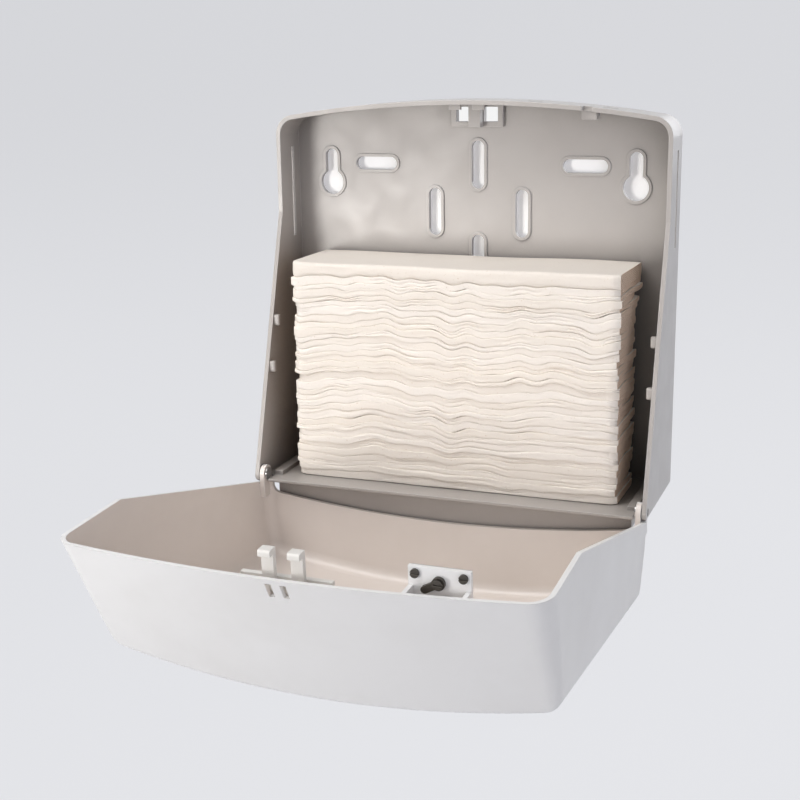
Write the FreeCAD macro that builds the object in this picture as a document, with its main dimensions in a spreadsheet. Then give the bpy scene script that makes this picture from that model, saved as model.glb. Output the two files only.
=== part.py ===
import FreeCAD, Part
import Sketcher
import math
import os
import re

# Wall-hung dispenser for folded paper towels, with its cover swung open.
# Millimetres, +Z up, +Y into the wall, +X to the right as one faces it.
# The origin is on the wall face, under the middle of the housing.
# The cover and all that it carries are drawn shut, then swung about the hinge pins.

os.makedirs("parts", exist_ok=True)
doc = FreeCAD.newDocument("towel_dispenser")
sheet = doc.addObject("Spreadsheet::Sheet", "sheet")

sizes = {
    # Housing
    "housingWidth": 280, "housingHeight": 265, "crownRise": 12, "cornerRadius": 14, "footRadius": 3,
    "wall": 3, "panelThick": 3, "topDepth": 34, "kneeDrop": 78,
    # Hinge
    "pivotDepth": 82, "knuckleRadius": 6, "openAngle": 93, "earThick": 3.4, "earGap": 0.6, "earReach": 10,
    "pinRadius": 2.5, "pinLength": 7.6, "pinInset": 0.4, "pinClearance": 0.15,
    "clipRadius": 4.6, "clipThick": 0.8, "clipGap": 0.2,
    # Cover
    "coverWall": 2.8, "rimGap": 0.8, "coverDepthTop": 115, "coverDepthBottom": 147, "shoulderDrop": 52,
    "coverBow": 13, "sideTuck": 4.5, "sideRadius": 1000, "frontCornerRadius": 12, "shoulderRadius": 7,
    "toeRadius": 10, "scoopDepth": 18, "scoopBow": 10, "scoopMargin": 9, "scoopCornerRadius": 6,
    # Towel shelf and throat
    "shelfThick": 3, "shelfDepth": 86, "mouthWidth": 180, "mouthFront": 60, "mouthBack": 25,
    "mouthCornerRadius": 8, "chinDepth": 74, "chinThick": 2.5, "chinDrop": 20, "chinMargin": 12,
    "chinCornerRadius": 10, "cheekDepth": 20, "cheekDrop": 3, "ridgeInset": 12, "ridgeWidth": 6,
    "ridgeHeight": 3, "ridgeBack": 12, "nubSize": 4, "nubInset": 3, "nubLow": 76, "nubHigh": 108,
    # Openings in the back panel and walls, each so far below the top or so far from the side
    "slotHalfWidth": 4.5, "levelSlotReach": 11, "uprightSlotReach": 12, "rimWidth": 2, "rimHeight": 1,
    "levelSlotInset": 64, "slotDrop": 45, "uprightSlotX": 31.8, "lowSlotDrop": 78.2,
    "keyholeInset": 29.2, "neckDrop": 39.6, "headDrop": 58.9, "headRadius": 8.7, "middleNeckDrop": 98.5,
    "middleHeadDrop": 117.8, "clipSlotWidth": 4, "clipSlotBottomDrop": 97, "clipSlotTopDrop": 33,
    "clipSlotDepth": 14, "notchLength": 11, "notchWidth": 4, "notchDepth": 20,
    "windowBottomDrop": 15.5, "windowTopDrop": 5.5, "windowInner": 5, "windowOuter": 15,
    "strikeRim": 3.5, "strikeProud": 3, "strikeRibProud": 9, "strikeGap": 0.7,
    # Catch on the cover
    "prongInner": 4.8, "prongOuter": 11.8, "prongBottomDrop": 14.5, "prongThick": 3, "prongTipDepth": 22.5,
    "prongRootDepth": 46, "hookLength": 3.6, "hookHeight": 6.8, "hookChamfer": 1.6,
    "strikeLugDepth": 29.5, "strikeLugThick": 2.5, "strikeLugGap": 1.2, "strikeLugMargin": 0.6,
    "catchHalfWidth": 26, "catchFront": 55, "catchBack": 39,
    "catchThick": 3.5, "catchScrewX": 20.5, "catchScrewDepth": 48,
    "keySlotX": 4.2, "keySlotWidth": 3.4, "keySlotFront": 47, "keySlotBack": 38,
    # Turn lever of the lock
    "lockInset": 56.5, "lockDepth": 31.7, "tabHalfWidth": 16.5, "tabTopDrop": 16, "tabThick": 2.5,
    "tabRear": 24.5, "tabFront": 48, "gussetThick": 2.5, "leverLength": 10.2, "leverRadius": 3.5,
    "leverTipRadius": 2, "leverThick": 2, "leverRestAngle": 208, "washerRadius": 3.3, "washerThick": 0.5,
    "pivotRadius": 1.6, "pivotHeadRadius": 2.7, "pivotHeadHeight": 1.3, "pivotTail": 1, "plateThick": 1.5,
    "plateHalfWidth": 15.5, "plateHalfDepth": 4.5, "plateDepth": 29.5, "tabScrewX": 12.7, "tabScrewDepth": 28,
    "lugHalfWidth": 5, "lugFront": 27, "lugBack": 17, "lugGap": 0.6, "accessWidth": 7,
    # Small screws
    "screwRadius": 1.5, "screwHeadRadius": 2.4, "screwHeadHeight": 1.6, "screwSlotWidth": 0.8,
    "screwSlotDepth": 0.8, "bossRadius": 3.5, "screwGrip": 4.5, "screwClearance": 0.12, "seatGap": 0.05,
    # Paper towels
    "stackSideGap": 20, "stackFront": 70, "stackRearGap": 0.4, "stackHeight": 155, "foldCount": 34,
    "foldBulge": 1.6, "foldStagger": 1.1, "stackSeatGap": 0.2,
    # Places that follow the housing's height and width
    "kneeHeight": "=housingHeight - kneeDrop", "shoulderHeight": "=housingHeight - shoulderDrop",
    "slotRow": "=housingHeight - slotDrop", "lowSlotRow": "=housingHeight - lowSlotDrop",
    "neckRow": "=housingHeight - neckDrop", "headRow": "=housingHeight - headDrop",
    "middleNeckRow": "=housingHeight - middleNeckDrop", "middleHeadRow": "=housingHeight - middleHeadDrop",
    "clipSlotBottom": "=housingHeight - clipSlotBottomDrop",
    "clipSlotTop": "=housingHeight - clipSlotTopDrop",
    "windowBottom": "=housingHeight - windowBottomDrop", "windowTop": "=housingHeight - windowTopDrop",
    "prongBottom": "=housingHeight - prongBottomDrop", "tabTop": "=housingHeight - tabTopDrop",
    "levelSlotX": "=housingWidth / 2 - levelSlotInset", "keyholeX": "=housingWidth / 2 - keyholeInset",
    "lockX": "=housingWidth / 2 - lockInset", "chinHalfWidth": "=housingWidth / 2 - chinMargin",
    "stackWidth": "=housingWidth - 2 * wall - 2 * stackSideGap",
}
for row, (name, number) in enumerate(sizes.items(), start=1):
    sheet.set("A%d" % row, name)
    sheet.set("B%d" % row, str(number))
    sheet.setAlias("B%d" % row, name)
doc.recompute()

# Formulas that several pieces share
halfWidth = "(housingWidth / 2)"
innerHalf = "(housingWidth / 2 - wall)"
hingeReach = "(pivotDepth + knuckleRadius)"
sideTop = "(housingHeight - crownRise)"
crownRadius = "(((housingWidth / 2) ^ 2 + crownRise ^ 2) / (2 * crownRise))"
topSlope = "((housingHeight - crownRise - shoulderHeight) / (coverDepthTop - topDepth))"
faceLean = "((coverDepthBottom - coverDepthTop) / shoulderHeight)"
wallSlope = "((pivotDepth + knuckleRadius - topDepth) / (kneeHeight - knuckleRadius))"
earOuter = "(housingWidth / 2 - wall - earGap)"
earInner = "(housingWidth / 2 - wall - earGap - earThick)"
leverBottom = "(tabTop + washerThick + 2 * seatGap)"
beyond = "20"


def bound(formula):
    """Write the sheet's name before each alias in a formula."""
    return re.sub(r"[A-Za-z]\w*", lambda word: "sheet." + word[0] if word[0] in sizes else word[0],
                  str(formula))


def value(formula):
    """The number that a formula has with the sheet's present sizes."""
    return float(sheet.evalExpression(str(formula)))


def bind(thing, **formulas):
    """Tie properties of an object to formulas of the sheet."""
    for prop, formula in formulas.items():
        thing.setExpression(prop.replace("_", "."), bound(formula))
    return thing


def placed(thing, x, y, z):
    return bind(thing, Placement_Base_x=x, Placement_Base_y=y, Placement_Base_z=z)


def block(name, x, y, z):
    """Box between two formulas on each axis."""
    box = doc.addObject("Part::Box", name)
    for prop, (low, high) in (("Length", x), ("Width", y), ("Height", z)):
        box.setExpression(prop, bound("(%s) - (%s)" % (high, low)))
    return placed(box, x[0], y[0], z[0])


def rod(name, axis, x, y, z, radius, length):
    """Cylinder that starts at a point and runs along an axis."""
    cylinder = doc.addObject("Part::Cylinder", name)
    turns = {"X": ((0, 1, 0), 90), "Y": ((1, 0, 0), -90), "Z": ((0, 0, 1), 0)}
    direction, angle = turns[axis]
    cylinder.Placement.Rotation = FreeCAD.Rotation(FreeCAD.Vector(*direction), angle)
    bind(cylinder, Radius=radius, Height=length)
    return placed(cylinder, x, y, z)


def fused(name, *pieces):
    fuse = doc.addObject("Part::MultiFuse", name)
    fuse.Shapes = list(pieces)
    fuse.Refine = True
    return fuse


def grouped(name, *pieces):
    compound = doc.addObject("Part::Compound", name)
    compound.Links = list(pieces)
    return compound


def shared(name, *pieces):
    common = doc.addObject("Part::MultiCommon", name)
    common.Shapes = list(pieces)
    return common


def cut(name, base, tool):
    difference = doc.addObject("Part::Cut", name)
    difference.Base = base
    difference.Tool = tool
    difference.Refine = True
    return difference


def flipped(name, piece):
    """Mirror image on the other side of the middle plane."""
    mirror = doc.addObject("Part::Mirroring", name)
    mirror.Source = piece
    mirror.Normal = FreeCAD.Vector(1, 0, 0)
    return mirror


def arc_between(start, end, radius):
    """Arc from start to end: counter-clockwise for a positive radius, clockwise for a negative one."""
    chord = end - start
    left = FreeCAD.Vector(-chord.y, chord.x, 0).normalize()
    rise = math.sqrt(radius ** 2 - (chord.Length / 2) ** 2)
    centre = (start + end) * 0.5 + left * math.copysign(rise, radius)
    circle = Part.Circle(centre, FreeCAD.Vector(0, 0, 1), abs(radius))
    first, last = (start, end) if radius > 0 else (end, start)
    return Part.ArcOfCircle(circle, circle.parameter(first), circle.parameter(last))


def draw(sketch, points):
    """Closed outline through points; a third entry is the signed radius of an arc to the next point."""
    corners = [FreeCAD.Vector(value(point[0]), value(point[1]), 0) for point in points]
    starts = []
    for index, point in enumerate(points):
        following = corners[(index + 1) % len(points)]
        if len(point) == 2:
            sketch.addGeometry(Part.LineSegment(corners[index], following))
            starts.append(1)
        else:
            sketch.addGeometry(arc_between(corners[index], following, value(point[2])))
            starts.append(1 if value(point[2]) > 0 else 2)
    for index, point in enumerate(points):
        following = (index + 1) % len(points)
        sketch.addConstraint(Sketcher.Constraint("Coincident", index, 3 - starts[index], following,
                                                 starts[following]))
        for kind, formula in (("DistanceX", point[0]), ("DistanceY", point[1])):
            number = sketch.addConstraint(Sketcher.Constraint(kind, -1, 1, index, starts[index],
                                                              value(formula)))
            sketch.setExpression("Constraints[%d]" % number, bound(formula))
        if len(point) == 3:
            number = sketch.addConstraint(Sketcher.Constraint("Radius", index, abs(value(point[2]))))
            sketch.setExpression("Constraints[%d]" % number, bound("abs(%s)" % point[2]))
    return sketch


planeTurns = {
    "XY": FreeCAD.Rotation(),
    "XZ": FreeCAD.Rotation(FreeCAD.Vector(1, 0, 0), 90),
    "YZ": FreeCAD.Rotation(FreeCAD.Vector(1, 1, 1), 120),
}


def outline(name, plane, points, lift="0"):
    """Sketch on a main plane, raised along Z where the outline needs it."""
    sketch = doc.addObject("Sketcher::SketchObject", name)
    sketch.Placement.Rotation = planeTurns[plane]
    bind(sketch, Placement_Base_z=lift)
    return draw(sketch, points)


def extruded(name, sketch, direction, length, symmetric=False):
    """Solid that carries a sketch along a direction, given as three formulas."""
    solid = doc.addObject("Part::Extrusion", name)
    solid.Base = sketch
    solid.DirMode = "Custom"
    solid.Solid = True
    solid.Symmetric = symmetric
    return bind(solid, Dir_x=direction[0], Dir_y=direction[1], Dir_z=direction[2], LengthFwd=length)


def rounded(name, base, radius, wanted):
    """Fillet on the edges whose middle point passes a test."""
    doc.recompute()
    fillet = doc.addObject("Part::Fillet", name)
    fillet.Base = base
    size = value(radius)
    picked = []
    for number, edge in enumerate(base.Shape.Edges, start=1):
        middle = edge.valueAt((edge.FirstParameter + edge.LastParameter) / 2)
        if wanted(middle, edge):
            picked.append((number, size, size))
    fillet.Edges = picked
    return fillet


def runs_along(edge, direction):
    """True for a straight edge that lies along a direction."""
    if edge.Curve.TypeId != "Part::GeomLine":
        return False
    ends = edge.Vertexes[-1].Point - edge.Vertexes[0].Point
    return ends.cross(FreeCAD.Vector(*direction)).Length < 0.001 * ends.Length


def swung(piece):
    """Swing a piece of the cover about the hinge pins, from shut to where the cover hangs open."""
    piece.Placement.Rotation = FreeCAD.Rotation(FreeCAD.Vector(1, 0, 0), 1)
    shift_y = "-pivotDepth + pivotDepth * cos(openAngle) + knuckleRadius * sin(openAngle)"
    shift_z = "knuckleRadius + pivotDepth * sin(openAngle) - knuckleRadius * cos(openAngle)"
    return bind(piece, Placement_Rotation_Angle="openAngle", Placement_Base_y=shift_y,
                Placement_Base_z=shift_z)


def plane_of(body, role):
    return next(feature for feature in body.Origin.OriginFeatures if feature.Role == role)


def body_sketch(body, name, role, offset):
    """Sketch on one of a body's own origin planes, moved along the plane's normal."""
    sketch = body.newObject("Sketcher::SketchObject", name)
    sketch.AttachmentSupport = [(plane_of(body, role), "")]
    sketch.MapMode = "FlatFace"
    return bind(sketch, AttachmentOffset_Base_z=offset)


def circle_at(sketch, x, y, radius):
    """Circle whose centre and radius follow the sheet."""
    centre = FreeCAD.Vector(value(x), value(y), 0)
    index = sketch.addGeometry(Part.Circle(centre, FreeCAD.Vector(0, 0, 1), value(radius)))
    for constraint, formula in (
        (Sketcher.Constraint("DistanceX", -1, 1, index, 3, centre.x), x),
        (Sketcher.Constraint("DistanceY", -1, 1, index, 3, centre.y), y),
        (Sketcher.Constraint("Radius", index, value(radius)), radius),
    ):
        number = sketch.addConstraint(constraint)
        sketch.setExpression("Constraints[%d]" % number, bound(formula))
    return sketch


def pad(body, name, sketch, length):
    feature = body.newObject("PartDesign::Pad", name)
    feature.Profile = sketch
    return bind(feature, Length=length)


def pocket_through(body, name, sketch):
    """Pocket through all, in both directions, which has to leave less than before."""
    doc.recompute()
    before = body.Shape.Volume
    feature = body.newObject("PartDesign::Pocket", name)
    feature.Profile = sketch
    feature.Type = "ThroughAll"
    feature.Midplane = True
    doc.recompute()
    if body.Shape.Volume >= before:
        raise RuntimeError(name + " removes nothing")
    return feature


# Housing: one moulding with the back panel, the walls, the towel shelf and the throat

def crown_outline(name, inset, floor, lift="0"):
    """Front view of the housing, moved inwards by an inset: straight sides under a crowned top."""
    side = "(housingWidth / 2 - %s)" % inset
    radius = "(%s - %s)" % (crownRadius, inset)
    top = "(housingHeight - {0} + sqrt(({0} - {1}) ^ 2 - (housingWidth / 2 - {1}) ^ 2))"
    top = top.format(crownRadius, inset)
    points = [("-" + side, floor), (side, floor), (side, top, radius), ("-" + side, top)]
    return outline(name, "XZ", points, lift)


def housing_shell():
    front = extruded("housing_front", crown_outline("housing_front_view", "0", "0"), ("0", "-1", "0"),
                     hingeReach)
    level = value(sideTop) / 2
    crowned = rounded("housing_crown", front, "cornerRadius",
                      lambda middle, edge: runs_along(edge, (0, 1, 0)) and middle.z > level)
    footed = rounded("housing_foot", crowned, "footRadius",
                     lambda middle, edge: runs_along(edge, (0, 1, 0)) and middle.z < 0.01)
    above = "(housingHeight + %s)" % beyond
    side = outline("housing_side_view", "YZ", [
        ("0", "0"),
        ("0", above),
        ("-topDepth", above),
        ("-topDepth", "kneeHeight"),
        ("-" + hingeReach, "knuckleRadius", "knuckleRadius"),
        ("-pivotDepth", "0"),
    ])
    width = "housingWidth + " + beyond
    solid = shared("housing_solid", footed, extruded("housing_side", side, ("1", "0", "0"), width, True))
    bay = extruded("bay_front", crown_outline("bay_view", "wall", "shelfThick"), ("0", "-1", "0"), hingeReach)
    bind(bay, Placement_Base_y="-panelThick")
    top_bay = rounded("bay_crown", bay, "cornerRadius - wall",
                      lambda middle, edge: runs_along(edge, (0, 1, 0)) and middle.z > level)
    return cut("housing_hollow", solid, top_bay)


def slot_tool(name, x, z, reach_x, reach_z, grow, y):
    """Slot with round ends about a centre, grown by a margin, between two depths."""
    half = "(slotHalfWidth + %s)" % grow
    depth = "(%s) - (%s)" % (y[1], y[0])
    ends = []
    for sign in "-+":
        centre_x = "%s %s %s" % (x, sign, reach_x)
        centre_z = "%s %s %s" % (z, sign, reach_z)
        ends.append(rod(name + "_end", "Y", centre_x, y[0], centre_z, half, depth))
    spread_x = half if reach_x == "0" else reach_x
    spread_z = half if reach_z == "0" else reach_z
    middle = block(name + "_middle", ("%s - %s" % (x, spread_x), "%s + %s" % (x, spread_x)), y,
                   ("%s - %s" % (z, spread_z), "%s + %s" % (z, spread_z)))
    return fused(name, middle, *ends)


def keyhole_tool(name, x, neck, head, grow, y):
    """Keyhole with its narrow neck above its round head, grown by a margin."""
    half = "(slotHalfWidth + %s)" % grow
    depth = "(%s) - (%s)" % (y[1], y[0])
    return fused(
        name,
        rod(name + "_neck", "Y", x, y[0], neck, half, depth),
        rod(name + "_head", "Y", x, y[0], head, "(headRadius + %s)" % grow, depth),
        block(name + "_link", ("%s - %s" % (x, half), "%s + %s" % (x, half)), y, (head, neck)),
    )


def panel_openings(name, grow, y):
    """The mounting slots and keyholes of the back panel, as one tool."""
    tools = [
        slot_tool(name + "_middle_slot", "0", "slotRow", "0", "uprightSlotReach", grow, y),
        keyhole_tool(name + "_middle_key", "0", "middleNeckRow", "middleHeadRow", grow, y),
    ]
    for sign in "-+":
        tools.append(slot_tool(name + "_level_slot", sign + "levelSlotX", "slotRow", "levelSlotReach", "0",
                               grow, y))
        tools.append(slot_tool(name + "_low_slot", sign + "uprightSlotX", "lowSlotRow", "0",
                               "uprightSlotReach", grow, y))
        tools.append(keyhole_tool(name + "_key", sign + "keyholeX", "neckRow", "headRow", grow, y))
    return fused(name, *tools)


def wall_openings():
    """Windows for the catch, slots and notches in the walls, hinge holes and the towel mouth."""
    tools = []
    above = ("kneeHeight", "housingHeight + 1")
    for sign, inner, outer in (("-", "windowOuter", "windowInner"), ("+", "windowInner", "windowOuter")):
        tools.append(block("window", (sign + inner, sign + outer), ("-panelThick - strikeProud - 1", "1"),
                           ("windowBottom", "windowTop")))
    for centre in ("-79", "-22", "45", "96"):
        tools.append(block("notch", (centre + " - notchLength / 2", centre + " + notchLength / 2"),
                           ("-notchDepth - notchWidth / 2", "-notchDepth + notchWidth / 2"), above))
    tools.append(block("key_access", ("lockX - accessWidth / 2", "lockX + accessWidth / 2"),
                       ("-topDepth - 1", "-lockDepth + accessWidth / 2"), above))
    through = ("-%s - 1" % halfWidth, halfWidth + " + 1")
    tools.append(block("clip_slots", through,
                       ("-clipSlotDepth - clipSlotWidth / 2", "-clipSlotDepth + clipSlotWidth / 2"),
                       ("clipSlotBottom", "clipSlotTop")))
    tools.append(rod("pin_holes", "X", through[0], "-pivotDepth", "knuckleRadius", "pinRadius + pinClearance",
                     "housingWidth + 2"))
    front_gap = ("-%s - 1" % hingeReach, "-shelfDepth")
    tools.append(block("shelf_front", ("-" + innerHalf, innerHalf), front_gap, ("-1", "shelfThick + 1")))
    ear_swing = ("-%s - 1" % hingeReach, "-pivotDepth + knuckleRadius + 1")
    notch_x = (earInner + " - 2 * earGap - clipGap - clipThick", innerHalf)
    notch = block("ear_notch", notch_x, ear_swing, ("-1", "shelfThick + 1"))
    tools += [notch, flipped("ear_notch_left", notch)]
    mouth = block("mouth", ("-mouthWidth / 2", "mouthWidth / 2"), ("-mouthFront", "-mouthBack"),
                  ("-1", "shelfThick + 1"))
    tools.append(rounded("mouth_round", mouth, "mouthCornerRadius",
                         lambda middle, edge: runs_along(edge, (0, 0, 1))))
    return fused("housing_openings", *tools)


def housing_extras():
    """Ribs, rims, ledges and the chin that stand on the shell."""
    extras = [panel_openings("panel_rims", "rimWidth", ("-panelThick - rimHeight", "-panelThick"))]
    crown = "housingHeight - wall"
    frame_x = "windowOuter + strikeRim"
    extras.append(block("strike_frame", ("-(%s)" % frame_x, frame_x),
                        ("-panelThick - strikeProud", "-panelThick / 2"),
                        ("windowBottom - strikeRim", crown)))
    extras.append(block("strike_rib", ("-windowInner + strikeGap", "windowInner - strikeGap"),
                        ("-panelThick - strikeRibProud", "-panelThick / 2"),
                        ("windowBottom - strikeRim", crown)))
    extras.append(block("lock_lug", ("lockX - lugHalfWidth", "lockX + lugHalfWidth"),
                        ("-lugFront", "-lugBack"),
                        (leverBottom + " + leverThick + lugGap", "housingHeight - crownRise / 2")))
    lug = block("strike_lug", ("prongInner - strikeLugMargin", "prongOuter + strikeLugMargin"),
                ("-strikeLugDepth", "-strikeLugDepth + strikeLugThick"),
                ("prongBottom + hookHeight + strikeLugGap", "housingHeight - wall / 2"))
    extras += [lug, flipped("strike_lug_left", lug)]
    for height in ("nubLow", "nubHigh"):
        rear = "-topDepth - %s * (kneeHeight - %s) + nubInset" % (wallSlope, height)
        nub = block("nub", (innerHalf + " - nubSize", innerHalf + " + wall / 2"), (rear, rear + " + nubSize"),
                    (height, height + " + 2 * nubSize"))
        soft = rounded("nub_round", nub, "nubSize / 3", lambda middle, edge: middle.x < value(innerHalf) - 1)
        extras += [soft, flipped("nub_left", soft)]
    ridge_x = (innerHalf + " - ridgeInset", innerHalf + " - ridgeInset + ridgeWidth")
    ridge = block("ridge", ridge_x, ("-shelfDepth + 2 * knuckleRadius", "-ridgeBack"),
                  ("shelfThick / 2", "shelfThick + ridgeHeight"))
    extras += [ridge, flipped("ridge_left", ridge)]
    chin = block("chin", ("-chinHalfWidth", "chinHalfWidth"), ("-chinDepth", "-chinDepth + chinThick"),
                 ("-chinDrop", "shelfThick / 2"))
    extras.append(rounded("chin_round", chin, "chinCornerRadius",
                          lambda middle, edge: runs_along(edge, (0, 1, 0)) and middle.z < 0))
    cheek_view = outline("cheek_view", "YZ", [
        ("-chinDepth + chinThick / 2", "shelfThick / 2"),
        ("-chinDepth + chinThick / 2", "-chinDrop + chinCornerRadius"),
        ("-cheekDepth", "-cheekDrop"),
        ("-cheekDepth", "shelfThick / 2"),
    ])
    cheek = extruded("cheek", cheek_view, ("1", "0", "0"), "chinThick")
    bind(cheek, Placement_Base_x="chinHalfWidth - chinThick")
    return extras + [cheek, flipped("cheek_left", cheek)]


def back_housing():
    walls = fused("housing_walls", housing_shell(), *housing_extras())
    punched = cut("housing_punched", walls, wall_openings())
    slots = panel_openings("panel_holes", "0", ("-panelThick - rimHeight - 1", "1"))
    return cut("back_housing", punched, slots)


# Cover: one moulding, a deep shell that is open at the rim, with its ears, its lock tab and its screw bosses

def cover_form(name, inset, rear):
    """Solid between the crowned top, the bowed front, the tucked sides and a rear boundary."""
    ahead = "-(coverDepthBottom + coverBow + %s)" % beyond
    above = "(housingHeight + %s)" % beyond
    side = outline(name + "_side_view", "YZ", rear + [(ahead, inset), (ahead, above)])
    profile = extruded(name + "_side", side, ("1", "0", "0"), "housingWidth + " + beyond, True)
    crown = crown_outline(name + "_crown_view", inset, "-housingHeight", topSlope + " * topDepth")
    reach = "(coverDepthBottom + coverBow + %s)" % beyond
    slanted = extruded(name + "_crown", crown, ("0", "-1", "-" + topSlope),
                       reach + " * sqrt(1 + %s ^ 2)" % topSlope)
    crowned = rounded(name + "_crown_round", slanted, "cornerRadius - %s" % inset,
                      lambda middle, edge: runs_along(edge, (0, 1, value(topSlope))) and middle.z > 0)
    side_x = "(housingWidth / 2 - %s)" % inset
    front_x = "(housingWidth / 2 - sideTuck - %s)" % inset
    front_y = "-(coverDepthBottom - %s)" % inset
    tuck_y = "-" + hingeReach
    bow_radius = "((%s ^ 2 + coverBow ^ 2) / (2 * coverBow))" % front_x
    plan = outline(name + "_plan_view", "XY", [
        ("-" + side_x, "0"),
        ("-" + side_x, tuck_y, "sideRadius"),
        ("-" + front_x, front_y, bow_radius),
        (front_x, front_y, "sideRadius"),
        (side_x, tuck_y),
        (side_x, "0"),
    ])
    rise = "(housingHeight + %s) * sqrt(1 + %s ^ 2)" % (beyond, faceLean)
    leaning = extruded(name + "_plan", plan, ("0", faceLean, "1"), rise)
    lean = value(faceLean)
    nose = value(front_y)
    cornered = rounded(
        name + "_plan_round", leaning, "frontCornerRadius - %s" % inset,
        lambda middle, edge: runs_along(edge, (0, lean, 1)) and middle.y - lean * middle.z < nose + 0.01)
    body = shared(name + "_body", profile, crowned, cornered)
    shouldered = rounded(name + "_shoulder", body, "shoulderRadius - %s" % inset, shoulder_edge)
    return rounded(name, shouldered, "toeRadius - %s" % inset, toe_edge)


def front_edge(middle, edge):
    """True for the long edges that run across the front face."""
    return abs(middle.y) > value("coverDepthTop") and abs(middle.x) < 1 and edge.Length > value(halfWidth)


def shoulder_edge(middle, edge):
    return front_edge(middle, edge) and middle.z > value(sideTop) / 2


def toe_edge(middle, edge):
    return front_edge(middle, edge) and middle.z < value("wall + shoulderRadius")


def cover_ears():
    """Hinge ears inside the housing's walls, each with a foot that joins it to the cover's side."""
    ear_x = (earInner, earOuter)
    disc = rod("ear_disc", "X", earInner, "-pivotDepth", "knuckleRadius", "knuckleRadius", "earThick")
    arm = block("ear_arm", ear_x, ("-%s - rimGap - earReach" % hingeReach, "-pivotDepth"),
                ("0", "2 * knuckleRadius"))
    foot = block("ear_foot", (earInner, halfWidth + " - coverWall / 2"),
                 ("-%s - rimGap - earReach" % hingeReach, "-%s - rimGap" % hingeReach),
                 ("0", "2 * knuckleRadius"))
    ear = fused("ear_blank", disc, arm, foot)
    hole = rod("ear_hole", "X", earInner + " - 1", "-pivotDepth", "knuckleRadius", "pinRadius + pinClearance",
               "earThick + 2")
    drilled = cut("ear", ear, hole)
    return [drilled, flipped("ear_left", drilled)]


def front_cover():
    above = "(housingHeight + %s)" % beyond
    rim = "(topDepth + rimGap)"
    foot = "(%s + rimGap)" % hingeReach
    outer = cover_form("cover_outer", "0",
                       [("-" + rim, above), ("-" + rim, "kneeHeight"), ("-" + foot, "knuckleRadius"),
                                            ("-" + foot, "0")])
    inner = cover_form("cover_inner", "coverWall", [("-wall", above), ("-wall", "coverWall")])
    shell = cut("cover_shell", outer, inner)
    scoop_x = "(housingWidth / 2 - scoopMargin)"
    scoop_y = "-(%s + scoopDepth - scoopBow)" % foot
    scoop_radius = "((%s ^ 2 + scoopBow ^ 2) / (2 * scoopBow))" % scoop_x
    scoop_view = outline("scoop_view", "XY", [
        ("-" + scoop_x, "-pivotDepth"),
        ("-" + scoop_x, scoop_y, scoop_radius),
        (scoop_x, scoop_y),
        (scoop_x, "-pivotDepth"),
    ])
    scoop = extruded("scoop", scoop_view, ("0", "0", "1"), "2 * coverWall")
    bind(scoop, Placement_Base_z="-coverWall / 2")
    scoop_round = rounded("scoop_round", scoop, "scoopCornerRadius",
                          lambda middle, edge: runs_along(edge, (0, 0, 1)) and
                          middle.y < value(scoop_y) + 0.01)
    studs = []
    for sign in "-+":
        studs.append(rod("catch_boss", "Z", sign + "catchScrewX", "-catchScrewDepth", "prongBottom + seatGap",
                         "bossRadius", "housingHeight - prongBottom"))
    gusset_y = ("-tabFront", "-" + rim)
    tab_z = ("tabTop - tabThick", "tabTop")
    for edge in ("lockX - tabHalfWidth", "lockX + tabHalfWidth - gussetThick"):
        studs.append(block("tab_gusset", (edge, edge + " + gussetThick"), gusset_y,
                           (tab_z[0], "housingHeight")))
    held = shared("cover_studs", fused("stud_blanks", *studs), outer)
    tab = block("lock_tab", ("lockX - tabHalfWidth", "lockX + tabHalfWidth"), ("-tabFront", "-tabRear"),
                tab_z)
    tools = [scoop_round]
    for sign in "-+":
        centre = sign + "keySlotX"
        tools.append(block("key_slot", (centre + " - keySlotWidth / 2", centre + " + keySlotWidth / 2"),
                           ("-keySlotFront", "-keySlotBack"), ("prongBottom + prongThick", "housingHeight")))
        tools.append(rod("catch_pilot", "Z", sign + "catchScrewX", "-catchScrewDepth", "prongBottom",
                         "screwRadius + screwClearance", "screwGrip + seatGap"))
        tools.append(rod("tab_hole", "Z", "lockX %s tabScrewX" % sign, "-tabScrewDepth",
                         "tabTop - tabThick - 1",
                         "screwRadius + screwClearance", "tabThick + 2"))
    tools.append(rod("pivot_hole", "Z", "lockX", "-lockDepth", "tabTop - tabThick - 1",
                     "pivotRadius + screwClearance",
                     "tabThick + 2"))
    whole = fused("cover_whole", shell, held, tab, *cover_ears())
    return swung(cut("front_cover", whole, fused("cover_tools", *tools)))


# Hinge pins, and the push-on rings that keep them in

def hinge_pin(side, start):
    body = doc.addObject("PartDesign::Body", "hinge_pin_" + side)
    sketch = circle_at(body_sketch(body, "pin_circle", "YZ_Plane", start), "-pivotDepth", "knuckleRadius",
                       "pinRadius")
    pad(body, "pin_pad", sketch, "pinLength")
    return body


def pin_ring(side, start):
    body = doc.addObject("PartDesign::Body", "pin_ring_" + side)
    sketch = body_sketch(body, "ring_circle", "YZ_Plane", start)
    circle_at(sketch, "-pivotDepth", "knuckleRadius", "clipRadius")
    circle_at(sketch, "-pivotDepth", "knuckleRadius", "pinRadius + seatGap")
    pad(body, "ring_pad", sketch, "clipThick")
    return body


# Catch: a moulded fork whose two prongs hook behind lugs under the top wall of the housing

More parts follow.
